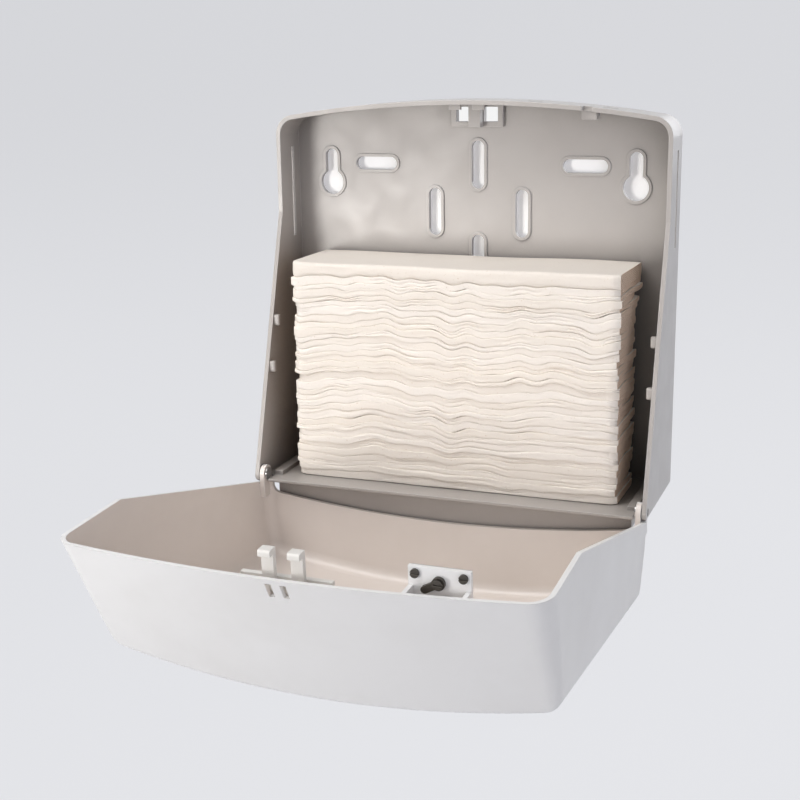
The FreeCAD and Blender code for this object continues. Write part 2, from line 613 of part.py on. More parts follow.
def catch_fork():
    base = block("fork_base", ("-catchHalfWidth", "catchHalfWidth"), ("-catchFront", "-catchBack"),
                 ("prongBottom - catchThick", "prongBottom"))
    prong = block("prong", ("prongInner", "prongOuter"), ("-prongRootDepth", "-prongTipDepth"),
                  ("prongBottom - seatGap", "prongBottom + prongThick"))
    hook_y = ("-prongTipDepth - hookLength", "-prongTipDepth")
    hook = block("hook", ("prongInner", "prongOuter"), hook_y, ("prongBottom", "prongBottom + hookHeight"))
    far = value("-prongTipDepth") - 0.01
    cap = value("prongBottom + hookHeight") - 0.01
    sloped = rounded("hook_slope", hook, "hookChamfer",
                     lambda middle, edge: middle.y > far and middle.z > cap)
    tip = fused("prong_hooked", prong, sloped)
    holes = [rod("fork_hole", "Z", sign + "catchScrewX", "-catchScrewDepth", "prongBottom - catchThick - 1",
                 "screwRadius + screwClearance", "catchThick + 2") for sign in "-+"]
    blank = fused("fork_blank", base, tip, flipped("prong_left", tip))
    return swung(cut("catch_fork", blank, fused("fork_holes", *holes)))


def screw(name, x, y, seat, upwards, grip):
    """Slotted round-head screw on a seat plane; its shank runs up or down from there."""
    head_z = seat + (" - screwHeadHeight - seatGap" if upwards else " + seatGap")
    shank_z = seat + (" - seatGap" if upwards else " - " + grip)
    head = rod(name + "_head", "Z", x, y, head_z, "screwHeadRadius", "screwHeadHeight")
    shank = rod(name + "_shank", "Z", x, y, shank_z, "screwRadius", grip + " + seatGap")
    slot_z = seat + (" - screwHeadHeight - seatGap - 1" if upwards
                     else " + seatGap + screwHeadHeight - screwSlotDepth")
    slot = block(name + "_slot", ("%s - screwHeadRadius - 1" % x, "%s + screwHeadRadius + 1" % x),
                 ("%s - screwSlotWidth / 2" % y, "%s + screwSlotWidth / 2" % y),
                 (slot_z, slot_z + " + screwSlotDepth + 1"))
    return cut(name, fused(name + "_blank", head, shank), slot)


def catch_screws():
    pair = [screw("catch_screw", sign + "catchScrewX", "-catchScrewDepth", "prongBottom - catchThick", True,
                  "(catchThick + screwGrip)") for sign in "-+"]
    return swung(grouped("catch_screws", *pair))


# Lock: a steel lever that turns on the cover's tab until its tip lies under the housing's ledge

def lock_lever():
    middle = ("0", "leverLength - leverTipRadius")
    blade = outline("lever_view", "XY", [
        (middle[0], "-leverTipRadius"),
        (middle[1], "-leverTipRadius"),
        (middle[1], "leverTipRadius"),
        (middle[0], "leverTipRadius"),
    ])
    solid = extruded("lever_blade", blade, ("0", "0", "1"), "leverThick")
    eye = rod("lever_eye", "Z", "0", "0", "0", "leverRadius", "leverThick")
    tip = rod("lever_tip", "Z", middle[1], "0", "0", "leverTipRadius", "leverThick")
    hole = rod("lever_hole", "Z", "0", "0", "-1", "pivotRadius + screwClearance", "leverThick + 2")
    flat = cut("lever_flat", fused("lever_blank", solid, eye, tip), hole)
    flat.Placement.Rotation = FreeCAD.Rotation(FreeCAD.Vector(0, 0, 1), 1)
    placed(flat, "lockX", "-lockDepth", leverBottom)
    bind(flat, Placement_Rotation_Angle="leverRestAngle")
    return swung(grouped("lock_lever", flat))


def lever_pivot():
    """Shouldered pin through the lever, the washer, the tab and the stop plate, with a slotted head."""
    top = leverBottom + " + leverThick + seatGap"
    foot = "tabTop - tabThick - seatGap - plateThick - pivotTail"
    head = rod("pivot_head", "Z", "lockX", "-lockDepth", top, "pivotHeadRadius", "pivotHeadHeight")
    shank = rod("pivot_shank", "Z", "lockX", "-lockDepth", foot, "pivotRadius", "%s - (%s)" % (top, foot))
    slot_z = top + " + pivotHeadHeight - screwSlotDepth"
    slot = block("pivot_slot", ("lockX - pivotHeadRadius - 1", "lockX + pivotHeadRadius + 1"),
                 ("-lockDepth - screwSlotWidth / 2", "-lockDepth + screwSlotWidth / 2"),
                 (slot_z, slot_z + " + screwSlotDepth + 1"))
    return swung(cut("lever_pivot", fused("pivot_blank", head, shank), slot))


def lever_washer():
    body = doc.addObject("PartDesign::Body", "lever_washer_flat")
    sketch = body_sketch(body, "washer_circles", "XY_Plane", "tabTop + seatGap")
    circle_at(sketch, "lockX", "-lockDepth", "washerRadius")
    circle_at(sketch, "lockX", "-lockDepth", "pivotRadius + screwClearance")
    pad(body, "washer_pad", sketch, "washerThick")
    return swung(grouped("lever_washer", body))


def stop_plate():
    body = doc.addObject("PartDesign::Body", "stop_plate_flat")
    left, right = "lockX - plateHalfWidth", "lockX + plateHalfWidth"
    front, rear = "-plateDepth - plateHalfDepth", "-plateDepth + plateHalfDepth"
    sketch = body_sketch(body, "plate_view", "XY_Plane", "tabTop - tabThick - seatGap - plateThick")
    pad(body, "plate_pad", draw(sketch, [(left, front), (right, front), (right, rear), (left, rear)]),
        "plateThick")
    holes = body_sketch(body, "plate_holes", "XY_Plane", "tabTop - tabThick - seatGap - plateThick")
    circle_at(holes, "lockX - tabScrewX", "-tabScrewDepth", "screwRadius + screwClearance")
    circle_at(holes, "lockX + tabScrewX", "-tabScrewDepth", "screwRadius + screwClearance")
    circle_at(holes, "lockX", "-lockDepth", "pivotRadius + screwClearance")
    pocket_through(body, "plate_pocket", holes)
    return swung(grouped("stop_plate", body))


def tab_screws():
    grip = "(tabThick + plateThick + pivotTail)"
    pair = [screw("tab_screw", "(lockX %s tabScrewX)" % sign, "-tabScrewDepth", "tabTop", False,
                  grip) for sign in "-+"]
    return swung(grouped("tab_screws", *pair))


# Paper: one stack of folded sheets, with the round nose of each fold at its front and its back

def towel_stack():
    half = value("stackWidth / 2")
    front = value("-stackFront")
    rear = value("-panelThick - rimHeight - stackRearGap")
    base = value("shelfThick + stackSeatGap")
    count = int(value("foldCount"))
    pitch = value("stackHeight / foldCount")
    bulge = value("foldBulge")
    stagger = value("foldStagger")

    def nose(index, edge, outward):
        """One fold's rounded nose, set back by its own small amount."""
        back = stagger * (0.5 + 0.5 * math.sin(2.399 * index + outward))
        low = FreeCAD.Vector(-half, edge - outward * (back + bulge), base + index * pitch)
        high = low + FreeCAD.Vector(0, 0, pitch)
        middle = (low + high) * 0.5 + FreeCAD.Vector(0, outward * bulge, 0)
        return low, middle, high

    edges = []
    last = None
    for index in range(count):
        low, middle, high = nose(index, front, -1)
        if last:
            edges.append(Part.LineSegment(last, low).toShape())
        edges.append(Part.Arc(low, middle, high).toShape())
        last = high
    for index in reversed(range(count)):
        low, middle, high = nose(index, rear, 1)
        edges.append(Part.LineSegment(last, high).toShape())
        edges.append(Part.Arc(high, middle, low).toShape())
        last = low
    edges.append(Part.LineSegment(last, edges[0].Vertexes[0].Point).toShape())
    face = Part.Face(Part.Wire(edges))
    stack = doc.addObject("Part::Feature", "towel_stack")
    stack.Shape = face.extrude(FreeCAD.Vector(2 * half, 0, 0))
    return stack


right_pin = halfWidth + " - pinInset - pinLength"
left_pin = "-%s + pinInset" % halfWidth
nodes = [
    back_housing(), front_cover(), towel_stack(),
    hinge_pin("right", right_pin), hinge_pin("left", left_pin),
    pin_ring("right", earInner + " - clipGap - clipThick"), pin_ring("left", "-%s + clipGap" % earInner),
    catch_fork(), catch_screws(),
    lock_lever(), lever_pivot(), lever_washer(), stop_plate(), tab_screws(),
]
doc.recompute()

faults = [thing.Name for thing in doc.Objects if "Invalid" in thing.State or "Error" in thing.State]
for node in nodes:
    node.Label = node.Name
    if node.Shape.isNull() or not node.Shape.isValid() or not node.Shape.Solids:
        faults.append(node.Name + " has no valid solid")
if faults:
    raise RuntimeError("Faults: " + ", ".join(faults))
for node in nodes:
    node.Shape.exportStep("parts/%s.step" % node.Label)
    box = node.Shape.BoundBox
    print("%-18s %2d solid(s) %9.1f mm3  x %.1f %.1f  y %.1f %.1f  z %.1f %.1f" % (
        node.Label, len(node.Shape.Solids), node.Shape.Volume, box.XMin, box.XMax, box.YMin, box.YMax,
        box.ZMin, box.ZMax))
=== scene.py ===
import math

import bpy
import numpy as np
from mathutils import Matrix, Vector


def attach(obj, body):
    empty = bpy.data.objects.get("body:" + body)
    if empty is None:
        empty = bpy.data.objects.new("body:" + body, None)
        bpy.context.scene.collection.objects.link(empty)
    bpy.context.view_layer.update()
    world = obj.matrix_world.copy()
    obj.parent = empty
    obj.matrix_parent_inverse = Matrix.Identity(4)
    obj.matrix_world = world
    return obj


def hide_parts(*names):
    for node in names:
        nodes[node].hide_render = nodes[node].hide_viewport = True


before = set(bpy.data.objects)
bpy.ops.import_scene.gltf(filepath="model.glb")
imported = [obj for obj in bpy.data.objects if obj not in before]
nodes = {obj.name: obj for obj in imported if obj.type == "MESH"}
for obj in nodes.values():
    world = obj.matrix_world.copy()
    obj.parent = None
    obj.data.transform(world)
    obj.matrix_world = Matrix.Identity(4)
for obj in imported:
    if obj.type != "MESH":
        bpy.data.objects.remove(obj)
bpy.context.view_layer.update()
print("frame loaded:", len(nodes), "nodes")

# Camera: where the photographer stood, to the right of the dispenser and a little above it
cameraView = {
    "eye": (0.2936, -0.9217, 0.2969),
    "yaw": 21.11,      # degrees turned to the left of straight on
    "pitch": 14.28,    # degrees down
    "roll": -0.87,
    "lens": 61.566,    # mm on a 36 mm sensor
}


def placeCamera(view):
    # right = (cos yaw, sin yaw, 0), ahead = (-sin yaw cos pitch, cos yaw cos pitch, -sin pitch) and
    # up = right x ahead; right and up are then turned by the roll
    yaw, pitch, roll = (math.radians(view[key]) for key in ("yaw", "pitch", "roll"))
    right = Vector((math.cos(yaw), math.sin(yaw), 0))
    ahead = Vector((-math.sin(yaw) * math.cos(pitch), math.cos(yaw) * math.cos(pitch), -math.sin(pitch)))
    up = right.cross(ahead)
    across = right * math.cos(roll) + up * math.sin(roll)
    upright = up * math.cos(roll) - right * math.sin(roll)
    data = bpy.data.cameras.new("photoCamera")
    data.sensor_width = 36
    data.lens = view["lens"]
    camera = bpy.data.objects.new("photoCamera", data)
    bpy.context.collection.objects.link(camera)
    turn = Matrix((across, upright, -ahead)).transposed().to_4x4()
    camera.matrix_world = Matrix.Translation(view["eye"]) @ turn
    bpy.context.scene.camera = camera


placeCamera(cameraView)
bpy.context.scene.view_settings.view_transform = "Standard"
print("camera placed")


def hexToLinear(code):
    # each sRGB channel c becomes ((c + 0.055) / 1.055) ^ 2.4, or c / 12.92 near black
    channels = np.array([int(code[start:start + 2], 16) for start in (1, 3, 5)]) / 255
    linear = np.where(channels > 0.04045, ((channels + 0.055) / 1.055) ** 2.4, channels / 12.92)
    return (*linear.tolist(), 1.0)


def addNode(tree, kind, options=None, sockets=None, stops=None):
    # options are the node's own settings, sockets are numbers or other nodes' outputs, and stops are
    # the steps of a ramp
    node = tree.nodes.new(kind)
    for name, choice in (options or {}).items():
        setattr(node, name, choice)
    for key, source in (sockets or {}).items():
        if isinstance(source, bpy.types.NodeSocket):
            tree.links.new(source, node.inputs[key])
        else:
            node.inputs[key].default_value = source
    for index, (place, tone) in enumerate(stops or []):
        step = node.color_ramp.elements[index] if index < 2 else node.color_ramp.elements.new(place)
        step.position = place
        step.color = (tone, tone, tone, 1)
    return node


def newMaterial(name):
    material = bpy.data.materials.new(name)
    material.use_nodes = True
    material.node_tree.nodes.clear()
    return material, material.node_tree


def dress(material, *names):
    for name in names:
        for place in nodes[name].material_slots:
            place.material = material


# Stage: a roll of pale paper, far behind and below, so the dispenser hangs free as in the photograph
stageSet = {
    "floorHeight": -0.62, "wallDistance": 1.9, "bend": 0.6, "bendSteps": 25,
    "front": -14, "halfWidth": 15, "top": 9,
    "wallColour": "#DEDFE3", "floorColour": "#E9EAEE", "paperColour": "#E4E4E6",
    "fadeHeight": 0.9,                  # this far above the floor its colour has turned to the wall's
    "fadeNear": 2.2, "fadeFar": 9.0,    # and it turns between these distances, out of the camera's sight
    "ownLight": 0.88,                   # share of the paper that keeps its colour; the rest takes light
}
# A white card behind the slots of the back panel, inside the panel's outline
slotCard = {
    "gap": 0.003, "halfWidth": 0.124, "foot": 0.012, "height": 0.249, "steps": 25,
    "crown": 0.6125,                    # the top edge falls by this many times the square of x
    # the second coat adds painted light on top of what the white first coat reflects
    "firstCoat": "#F4F4F4", "paintedLightCoat": "#A4A4A4",
    "windowHeight": 0.246,              # above this it glows with painted light, behind the two windows of the catch
}


def gridObject(name, points):
    # points is an array of rows x columns x 3; neighbours on the grid are joined by four-sided faces
    rows, columns = points.shape[:2]
    index = np.arange(rows * columns).reshape(rows, columns)
    faces = np.stack([index[:-1, :-1], index[:-1, 1:], index[1:, 1:], index[1:, :-1]], axis=-1)
    mesh = bpy.data.meshes.new(name)
    mesh.from_pydata(points.reshape(-1, 3).tolist(), [], faces.reshape(-1, 4).tolist())
    mesh.shade_smooth()
    piece = bpy.data.objects.new(name, mesh)
    bpy.context.collection.objects.link(piece)
    return piece


def backdropPaper(setting):
    # Smooth uncoated paper: mostly its own pale colour to the eye and to gloss, the rest plain diffuse that
    # keeps the shadow. Colour = floor to wall, by the greater of a height share and a distance share.
    material, tree = newMaterial("backdropPaper")
    place = addNode(tree, "ShaderNodeTexCoord").outputs["Object"]
    height = addNode(tree, "ShaderNodeSeparateXYZ", sockets={0: place}).outputs["Z"]
    low, high = setting["floorHeight"], setting["floorHeight"] + setting["fadeHeight"]
    rise = addNode(tree, "ShaderNodeMapRange", {"interpolation_type": "SMOOTHSTEP"},
                   {"Value": height, "From Min": low, "From Max": high})
    distance = addNode(tree, "ShaderNodeVectorMath", {"operation": "LENGTH"}, {0: place}).outputs["Value"]
    far = addNode(tree, "ShaderNodeMapRange", {"interpolation_type": "SMOOTHSTEP"},
                  {"Value": distance, "From Min": setting["fadeNear"], "From Max": setting["fadeFar"]})
    share = addNode(tree, "ShaderNodeMath", {"operation": "MAXIMUM"},
                    {0: rise.outputs[0], 1: far.outputs[0]})
    floor, wall = hexToLinear(setting["floorColour"]), hexToLinear(setting["wallColour"])
    tone = addNode(tree, "ShaderNodeMix", {"data_type": "RGBA"}, {0: share.outputs[0], 6: floor, 7: wall})
    glow = addNode(tree, "ShaderNodeEmission", sockets={"Color": tone.outputs[2], "Strength": 1.0})
    matt = addNode(tree, "ShaderNodeBsdfDiffuse", sockets={"Color": hexToLinear(setting["paperColour"])})
    rays = addNode(tree, "ShaderNodeLightPath").outputs
    seen = addNode(tree, "ShaderNodeMath", {"operation": "MAXIMUM"},
                   {0: rays["Is Camera Ray"], 1: rays["Is Glossy Ray"]})
    seen = addNode(tree, "ShaderNodeMath", {"operation": "MAXIMUM"},
                   {0: seen.outputs[0], 1: rays["Is Transmission Ray"]})
    own = addNode(tree, "ShaderNodeMath", {"operation": "MULTIPLY"},
                  {0: seen.outputs[0], 1: setting["ownLight"]})
    both = addNode(tree, "ShaderNodeMixShader",
                   sockets={0: own.outputs[0], 1: matt.outputs[0], 2: glow.outputs[0]})
    addNode(tree, "ShaderNodeOutputMaterial", sockets={"Surface": both.outputs[0]})
    return material


def whiteCard(setting):
    # Card of matt white, whose second diffuse coat adds painted light beyond what white can reflect: it
    # takes the light and shadow of the slots before it, and glows with painted light behind the windows.
    # Colour = first coat + second coat, or the glow above windowHeight. Only the camera sees it, and only
    # from in front; it is clear to all else.
    material, tree = newMaterial("whiteCard")
    place = addNode(tree, "ShaderNodeTexCoord").outputs["Object"]
    height = addNode(tree, "ShaderNodeSeparateXYZ", sockets={0: place}).outputs["Z"]
    window = addNode(tree, "ShaderNodeMath", {"operation": "GREATER_THAN"},
                     {0: height, 1: setting["windowHeight"]})
    white = hexToLinear(setting["firstCoat"])
    first = addNode(tree, "ShaderNodeBsdfDiffuse", sockets={"Color": white})
    second = addNode(tree, "ShaderNodeBsdfDiffuse", sockets={"Color": hexToLinear(setting["paintedLightCoat"])})
    # painted light: the second coat's reflection is added to the first, brighter than a white card
    matt = addNode(tree, "ShaderNodeAddShader", sockets={0: first.outputs[0], 1: second.outputs[0]})
    glow = addNode(tree, "ShaderNodeEmission", sockets={"Color": white, "Strength": 1.0})
    bright = addNode(tree, "ShaderNodeMixShader",
                     sockets={0: window.outputs[0], 1: matt.outputs[0], 2: glow.outputs[0]})
    clear = addNode(tree, "ShaderNodeBsdfTransparent")
    camera = addNode(tree, "ShaderNodeLightPath").outputs["Is Camera Ray"]
    behind = addNode(tree, "ShaderNodeNewGeometry").outputs["Backfacing"]
    front = addNode(tree, "ShaderNodeMath", {"operation": "SUBTRACT", "use_clamp": True},
                    {0: camera, 1: behind})
    both = addNode(tree, "ShaderNodeMixShader",
                   sockets={0: front.outputs[0], 1: clear.outputs[0], 2: bright.outputs[0]})
    addNode(tree, "ShaderNodeOutputMaterial", sockets={"Surface": both.outputs[0]})
    return material


def makeBackdrop(setting):
    # the path runs level to the bend, round a quarter circle and straight up, the same at every x
    turn = np.linspace(0, math.pi / 2, setting["bendSteps"])
    bendY = setting["wallDistance"] - setting["bend"] + setting["bend"] * np.sin(turn)
    bendZ = setting["floorHeight"] + setting["bend"] * (1 - np.cos(turn))
    pathY = np.concatenate([[setting["front"]], bendY, [setting["wallDistance"]]])
    pathZ = np.concatenate([[setting["floorHeight"]], bendZ, [setting["top"]]])
    x, y = np.meshgrid([setting["halfWidth"], -setting["halfWidth"]], pathY, indexing="ij")
    paper = gridObject("backdrop", np.stack([x, y, np.broadcast_to(pathZ, x.shape)], axis=-1))
    paper.data.materials.append(backdropPaper(setting))
    return paper


def makeCard(setting):
    # z = foot + rise (height - crown x^2), where rise is 0 along the foot and 1 along the top edge
    sideways = np.linspace(-setting["halfWidth"], setting["halfWidth"], setting["steps"])
    x, rise = np.meshgrid(sideways, [0.0, 1.0], indexing="ij")
    z = setting["foot"] + rise * (setting["height"] - setting["crown"] * x ** 2)
    card = gridObject("slotCard", np.stack([x, np.full_like(x, setting["gap"]), z], axis=-1))
    card.data.flip_normals()
    card.data.materials.append(whiteCard(setting))
    return card


paper = makeBackdrop(stageSet)
card = makeCard(slotCard)
print("stage set")

# Lamps: a near soft key low on the left, a broad one overhead, a fill on the right and one behind
lamps = {
    "key": {"place": (-0.55, -1.03, 0.06), "aim": (-0.13, -0.2, 0.12), "size": 0.3, "spread": 76,
            "power": 0.94, "colour": "#FFFCF8"},
    "overhead": {"place": (-0.5, -0.6, 1.25), "aim": (-0.03, -0.2, 0), "size": 0.9, "spread": 150,
                 "power": 9.5, "colour": "#FFFDFB"},
    "fill": {"place": (1.25, -1.45, 0.25), "aim": (0, -0.2, 0), "size": 1.4, "spread": 160,
             "power": 7.0, "colour": "#F8F7FF"},
    "behind": {"place": (0.7, 1.5, 0.75), "aim": (0, 0, 0.1), "size": 1.3, "spread": 160,
               "power": 9.0, "colour": "#FAFAFC"},
}
room = {"colour": "#F6F6F8", "strength": 0.27, "seenColour": "#D5D6DA"}


def makeLamps(rows):
    for name, lamp in rows.items():
        data = bpy.data.lights.new(name, "AREA")
        data.shape = "SQUARE"
        data.size = lamp["size"]
        data.spread = math.radians(lamp["spread"])
        data.energy = lamp["power"]
        data.color = hexToLinear(lamp["colour"])[:3]
        light = bpy.data.objects.new(name, data)
        bpy.context.collection.objects.link(light)
        light.location = lamp["place"]
        aim = Vector(lamp["aim"]) - Vector(lamp["place"])
        light.rotation_euler = aim.to_track_quat("-Z", "Y").to_euler()
        light.visible_camera = False


def makeRoom(setting):
    # one pale colour lights the object from all round, and the eye sees another, near the paper's own, where
    # the paper ends
    world = bpy.data.worlds.new("paleRoom")
    world.use_nodes = True
    tree = world.node_tree
    tree.nodes.clear()
    camera = addNode(tree, "ShaderNodeLightPath").outputs["Is Camera Ray"]
    lit = addNode(tree, "ShaderNodeBackground",
                  sockets={"Color": hexToLinear(setting["colour"]), "Strength": setting["strength"]})
    seen = addNode(tree, "ShaderNodeBackground",
                   sockets={"Color": hexToLinear(setting["seenColour"]), "Strength": 1.0})
    both = addNode(tree, "ShaderNodeMixShader", sockets={0: camera, 1: lit.outputs[0], 2: seen.outputs[0]})
    addNode(tree, "ShaderNodeOutputWorld", sockets={"Surface": both.outputs[0]})
    bpy.context.scene.world = world


makeLamps(lamps)
makeRoom(room)
print("lamps lit")

# Towels: folded paper, one leaf for each folded towel, pressed flat by the ones above. Lengths in metres.
towels = {
    "seed": 41, "wearSeed": 57, "leaves": 34, "columns": 88,
    "nosePoints": 11, "tailPoints": 5, "depthPoints": 9, "sharpAngle": 50,
    "halfWidth": 0.1158, "front": -0.0693, "rear": -0.0049, "bottom": 0.0033, "top": 0.1575, "gap": 0.00004,
    # thickness as a share: its range from leaf to leaf, the top leaf's, and how it wanders along the width
    "thinnest": 0.72, "thickest": 1.3, "topThickness": 2.3, "unevenness": 0.11, "wanderLimits": (0.4, 1.8),
    "longWaves": (0.06, 0.22), "shortWaves": (0.018, 0.045), "shortWaveShare": 0.55,
    "topRoom": 0.0006, "topSwell": 0.0003, "topSwellLimit": 0.0005, "topWaves": (0.05, 0.2),
    # where the fronts and backs of the leaves stand, and how far the worn corners turn back
    "frontSetBack": 0.0012, "frontShift": 0.00045, "frontLimit": 0.0034, "frontWaves": (0.05, 0.2),
    "ownShare": 0.9, "driftShare": 0.5, "cornerWear": 0.0046, "leastWear": 0.3, "nextColumnWear": 0.3,
    "backSetBack": 0.014, "backSpread": 0.0022, "backLimits": (0.008, 0.019), "backShift": 0.0006,
    "topBacks": ((0.004,), (0.001,), (0,)),
    # the noses: depth, how it swells along the leaf, and the groove between the plies
    "noseDepth": 0.0013, "pressedShare": 0.28, "swellShare": (0.1, 0.7), "swellLift": 0.3,
    "swellLimit": 1.7, "noseWaves": (0.04, 0.16), "topNose": 0.0034, "rearDepth": 0.0013,
    "heightPower": 0.8, "depthPower": 0.5,
    "plyGroove": 0.0007, "plyWidth": 0.2, "plyPlace": 0.35, "plyLimit": 1.2, "plyWaves": (0.03, 0.12),
    # the cut ends: sideways shift of a leaf, and its slant from front to back about slantMiddle
    "endShift": 0.00066, "endShiftLimit": 0.0006, "slantMean": 0.0002, "slantSpread": 0.0009,
    "slantMiddle": -0.045, "slantDepth": 0.03, "slantLimits": (-0.0014, 0.0024), "endPower": 6,
    "sideLimits": (-0.1176, 0.1184),
}


def gentleWaves(dice, shape, x, y, shortest, longest, count=7, widest=0.6):
    # sum of cos(2 pi (x cos a + y sin a) / l + p) over count random directions a within widest of the width,
    # lengths l and phases p, divided so that its usual size is 1; there is one such sum for each leaf
    angle = dice.uniform(-widest, widest, (*shape, count))
    length = dice.uniform(shortest, longest, (*shape, count))
    phase = dice.uniform(0, 2 * math.pi, (*shape, count))
    travel = x[..., None] * np.cos(angle) + y[..., None] * np.sin(angle)
    return np.cos(2 * math.pi * travel / length + phase).sum(axis=-1) / math.sqrt(count / 2)


def leafLevels(setting, dice, x, y):
    # the heights between leaves are running sums of uneven thicknesses, scaled so that every column of the
    # stack has the same height; then the top face swells a little
    one = (setting["leaves"], 1, 1)
    weight = dice.uniform(setting["thinnest"], setting["thickest"], one)
    weight[-1] = setting["topThickness"]
    wander = gentleWaves(dice, one, x, y, *setting["longWaves"])
    wander = wander + setting["shortWaveShare"] * gentleWaves(dice, one, x, y, *setting["shortWaves"])
    thick = weight * np.clip(1 + setting["unevenness"] * wander, *setting["wanderLimits"])
    level = np.concatenate([np.zeros((1, *x.shape)), np.cumsum(thick, axis=0)])
    level = setting["bottom"] + level / level[-1:] * (setting["top"] - setting["topRoom"] - setting["bottom"])
    swell = setting["topSwell"] * gentleWaves(dice, (1, 1, 1), x, y, *setting["topWaves"])[0]
    level[-1] += np.clip(swell, -setting["topSwellLimit"], setting["topSwellLimit"])
    return level


def leafEdges(setting, dice, line):
    # Front and back of each leaf along its width, and the depth of its nose. Each front drifts about its own
    # place and turns back at the corners that handling has rounded. The backs stand forward of the panel,
    # raggedly, and only the top ones reach back to it. Nose = noseDepth (pressedShare + u (swell + lift)^2),
    # with u one share for each leaf, so that it stands open in some stretches and is pressed flat in others.
    each = (setting["leaves"], 1)
    drift = gentleWaves(dice, each, line, 0 * line, *setting["frontWaves"])
    ragged = setting["ownShare"] * dice.normal(size=each) + setting["driftShare"] * drift
    front = setting["front"] + setting["frontSetBack"] + setting["frontShift"] * ragged
    front = np.clip(front, setting["front"], setting["front"] + setting["frontLimit"])
    wearDice = np.random.default_rng(setting["wearSeed"])
    worn = setting["cornerWear"] * wearDice.uniform(setting["leastWear"], 1.0, (setting["leaves"], 2))
    front[:, [0, -1]] += worn
    front[:, [1, -2]] += setting["nextColumnWear"] * worn
    setBack = dice.normal(setting["backSetBack"], setting["backSpread"], each)
    setBack = np.clip(setBack, *setting["backLimits"])
    setBack[-len(setting["topBacks"]):] = setting["topBacks"]
    back = np.minimum(setting["rear"] - setBack + setting["backShift"] * drift, setting["rear"])
    swell = gentleWaves(dice, each, line, 0 * line, *setting["noseWaves"])
    swell = np.clip(swell + setting["swellLift"], 0, setting["swellLimit"])
    share = setting["pressedShare"] + dice.uniform(*setting["swellShare"], each) * swell ** 2
    bulge = setting["noseDepth"] * share
    bulge[-1] = setting["topNose"]
    return front, back, bulge


def leafLoops(setting, dice, line, level, edges):
    # A leaf is a closed loop of points in y and z: a nose in front, a run back along its top, a nose behind
    # and a run forward along its underside. The front nose is a superellipse, its height sin^heightPower and
    # its depth cos^depthPower of the angle, less a groove plyGroove exp(-((lift - split) / plyWidth)^2)
    # between its plies. The rear nose is a half circle flattened in depth.
    front, back, bulge = edges
    low, high = level[:-1] + setting["gap"], level[1:] - setting["gap"]
    middle, half = (low + high) / 2, (high - low) / 2
    first, last = (front + bulge)[..., None], (back - setting["rearDepth"])[..., None]
    angle = np.linspace(-math.pi / 2, math.pi / 2, setting["nosePoints"])
    lift = np.sign(np.sin(angle)) * np.abs(np.sin(angle)) ** setting["heightPower"]
    reach = np.abs(np.cos(angle)) ** setting["depthPower"]
    openness = gentleWaves(dice, (setting["leaves"], 1), line, 0 * line, *setting["plyWaves"])
    openness = np.clip(openness, 0, setting["plyLimit"])[..., None]
    split = dice.uniform(-setting["plyPlace"], setting["plyPlace"], (setting["leaves"], 1, 1))
    groove = setting["plyGroove"] * openness * np.exp(-((lift - split) / setting["plyWidth"]) ** 2)
    noseY = first - bulge[..., None] * reach + groove * reach
    noseZ = middle[..., :1] + half[..., :1] * lift
    tailAngle = np.linspace(math.pi / 2, -math.pi / 2, setting["tailPoints"])
    tailY = last + setting["rearDepth"] * np.cos(tailAngle)
    tailZ = middle[..., -1:] + half[..., -1:] * np.sin(tailAngle)
    runY = first + (last - first) * np.linspace(0, 1, setting["depthPoints"])[1:-1]
    loopY = np.concatenate([noseY, runY, tailY, runY[..., ::-1]], axis=-1)
    loopZ = np.concatenate([noseZ, high[..., 1:-1], tailZ, low[..., -2:0:-1]], axis=-1)
    return loopY, loopZ


def spreadEnds(setting, dice, across, line, loopY):
    # x = half width times across + the leaf's shift, and near each end + its slant times share ^ endPower,
    # where share grows from 0 at the other end to 1 at this one
    shift = setting["endShift"] * dice.normal(size=(setting["leaves"], 1, 1))
    shift = np.clip(shift, -setting["endShiftLimit"], setting["endShiftLimit"])
    slant = dice.normal(setting["slantMean"], setting["slantSpread"], (2, setting["leaves"], 1, 1))
    slant = slant * (loopY[None] - setting["slantMiddle"]) / setting["slantDepth"]
    slant = np.clip(slant, *setting["slantLimits"])
    share = (across[None, :, None] + 1) / 2
    loopX = line[..., None] + shift
    loopX = loopX + slant[0] * share ** setting["endPower"] - slant[1] * (1 - share) ** setting["endPower"]
    return np.clip(loopX, *setting["sideLimits"])


def leafFaces(columns, loop, nosePoints):
    # faces of one leaf: the wall round it, then its two end caps. A cap's strips join the top of the loop to
    # its underside, from the middle of the front nose to the middle of the rear one, a triangle at each.
    size = columns * loop
    index = np.arange(size).reshape(columns, loop)
    ring = np.hstack([index, index[:, :1]])
    wall = np.stack([ring[:-1, :-1], ring[:-1, 1:], ring[1:, 1:], ring[1:, :-1]], axis=-1).reshape(-1, 4)
    tip, tail = nosePoints // 2, nosePoints // 2 + loop // 2
    step = np.arange(1, loop // 2 - 1)
    left = np.stack([tip - step, tip + step, tip + step + 1, tip - step - 1], axis=1) % loop
    leftTips = np.array([(tip, tip + 1, tip - 1), (tail, tail + 1, tail - 1)])
    right = left[:, ::-1] + size - loop
    rightTips = leftTips[:, ::-1] + size - loop
    isCut = np.concatenate([np.zeros(len(wall)), np.ones(2 * len(left))])
    return np.concatenate([wall, left, right]), np.concatenate([leftTips, rightTips]), isCut


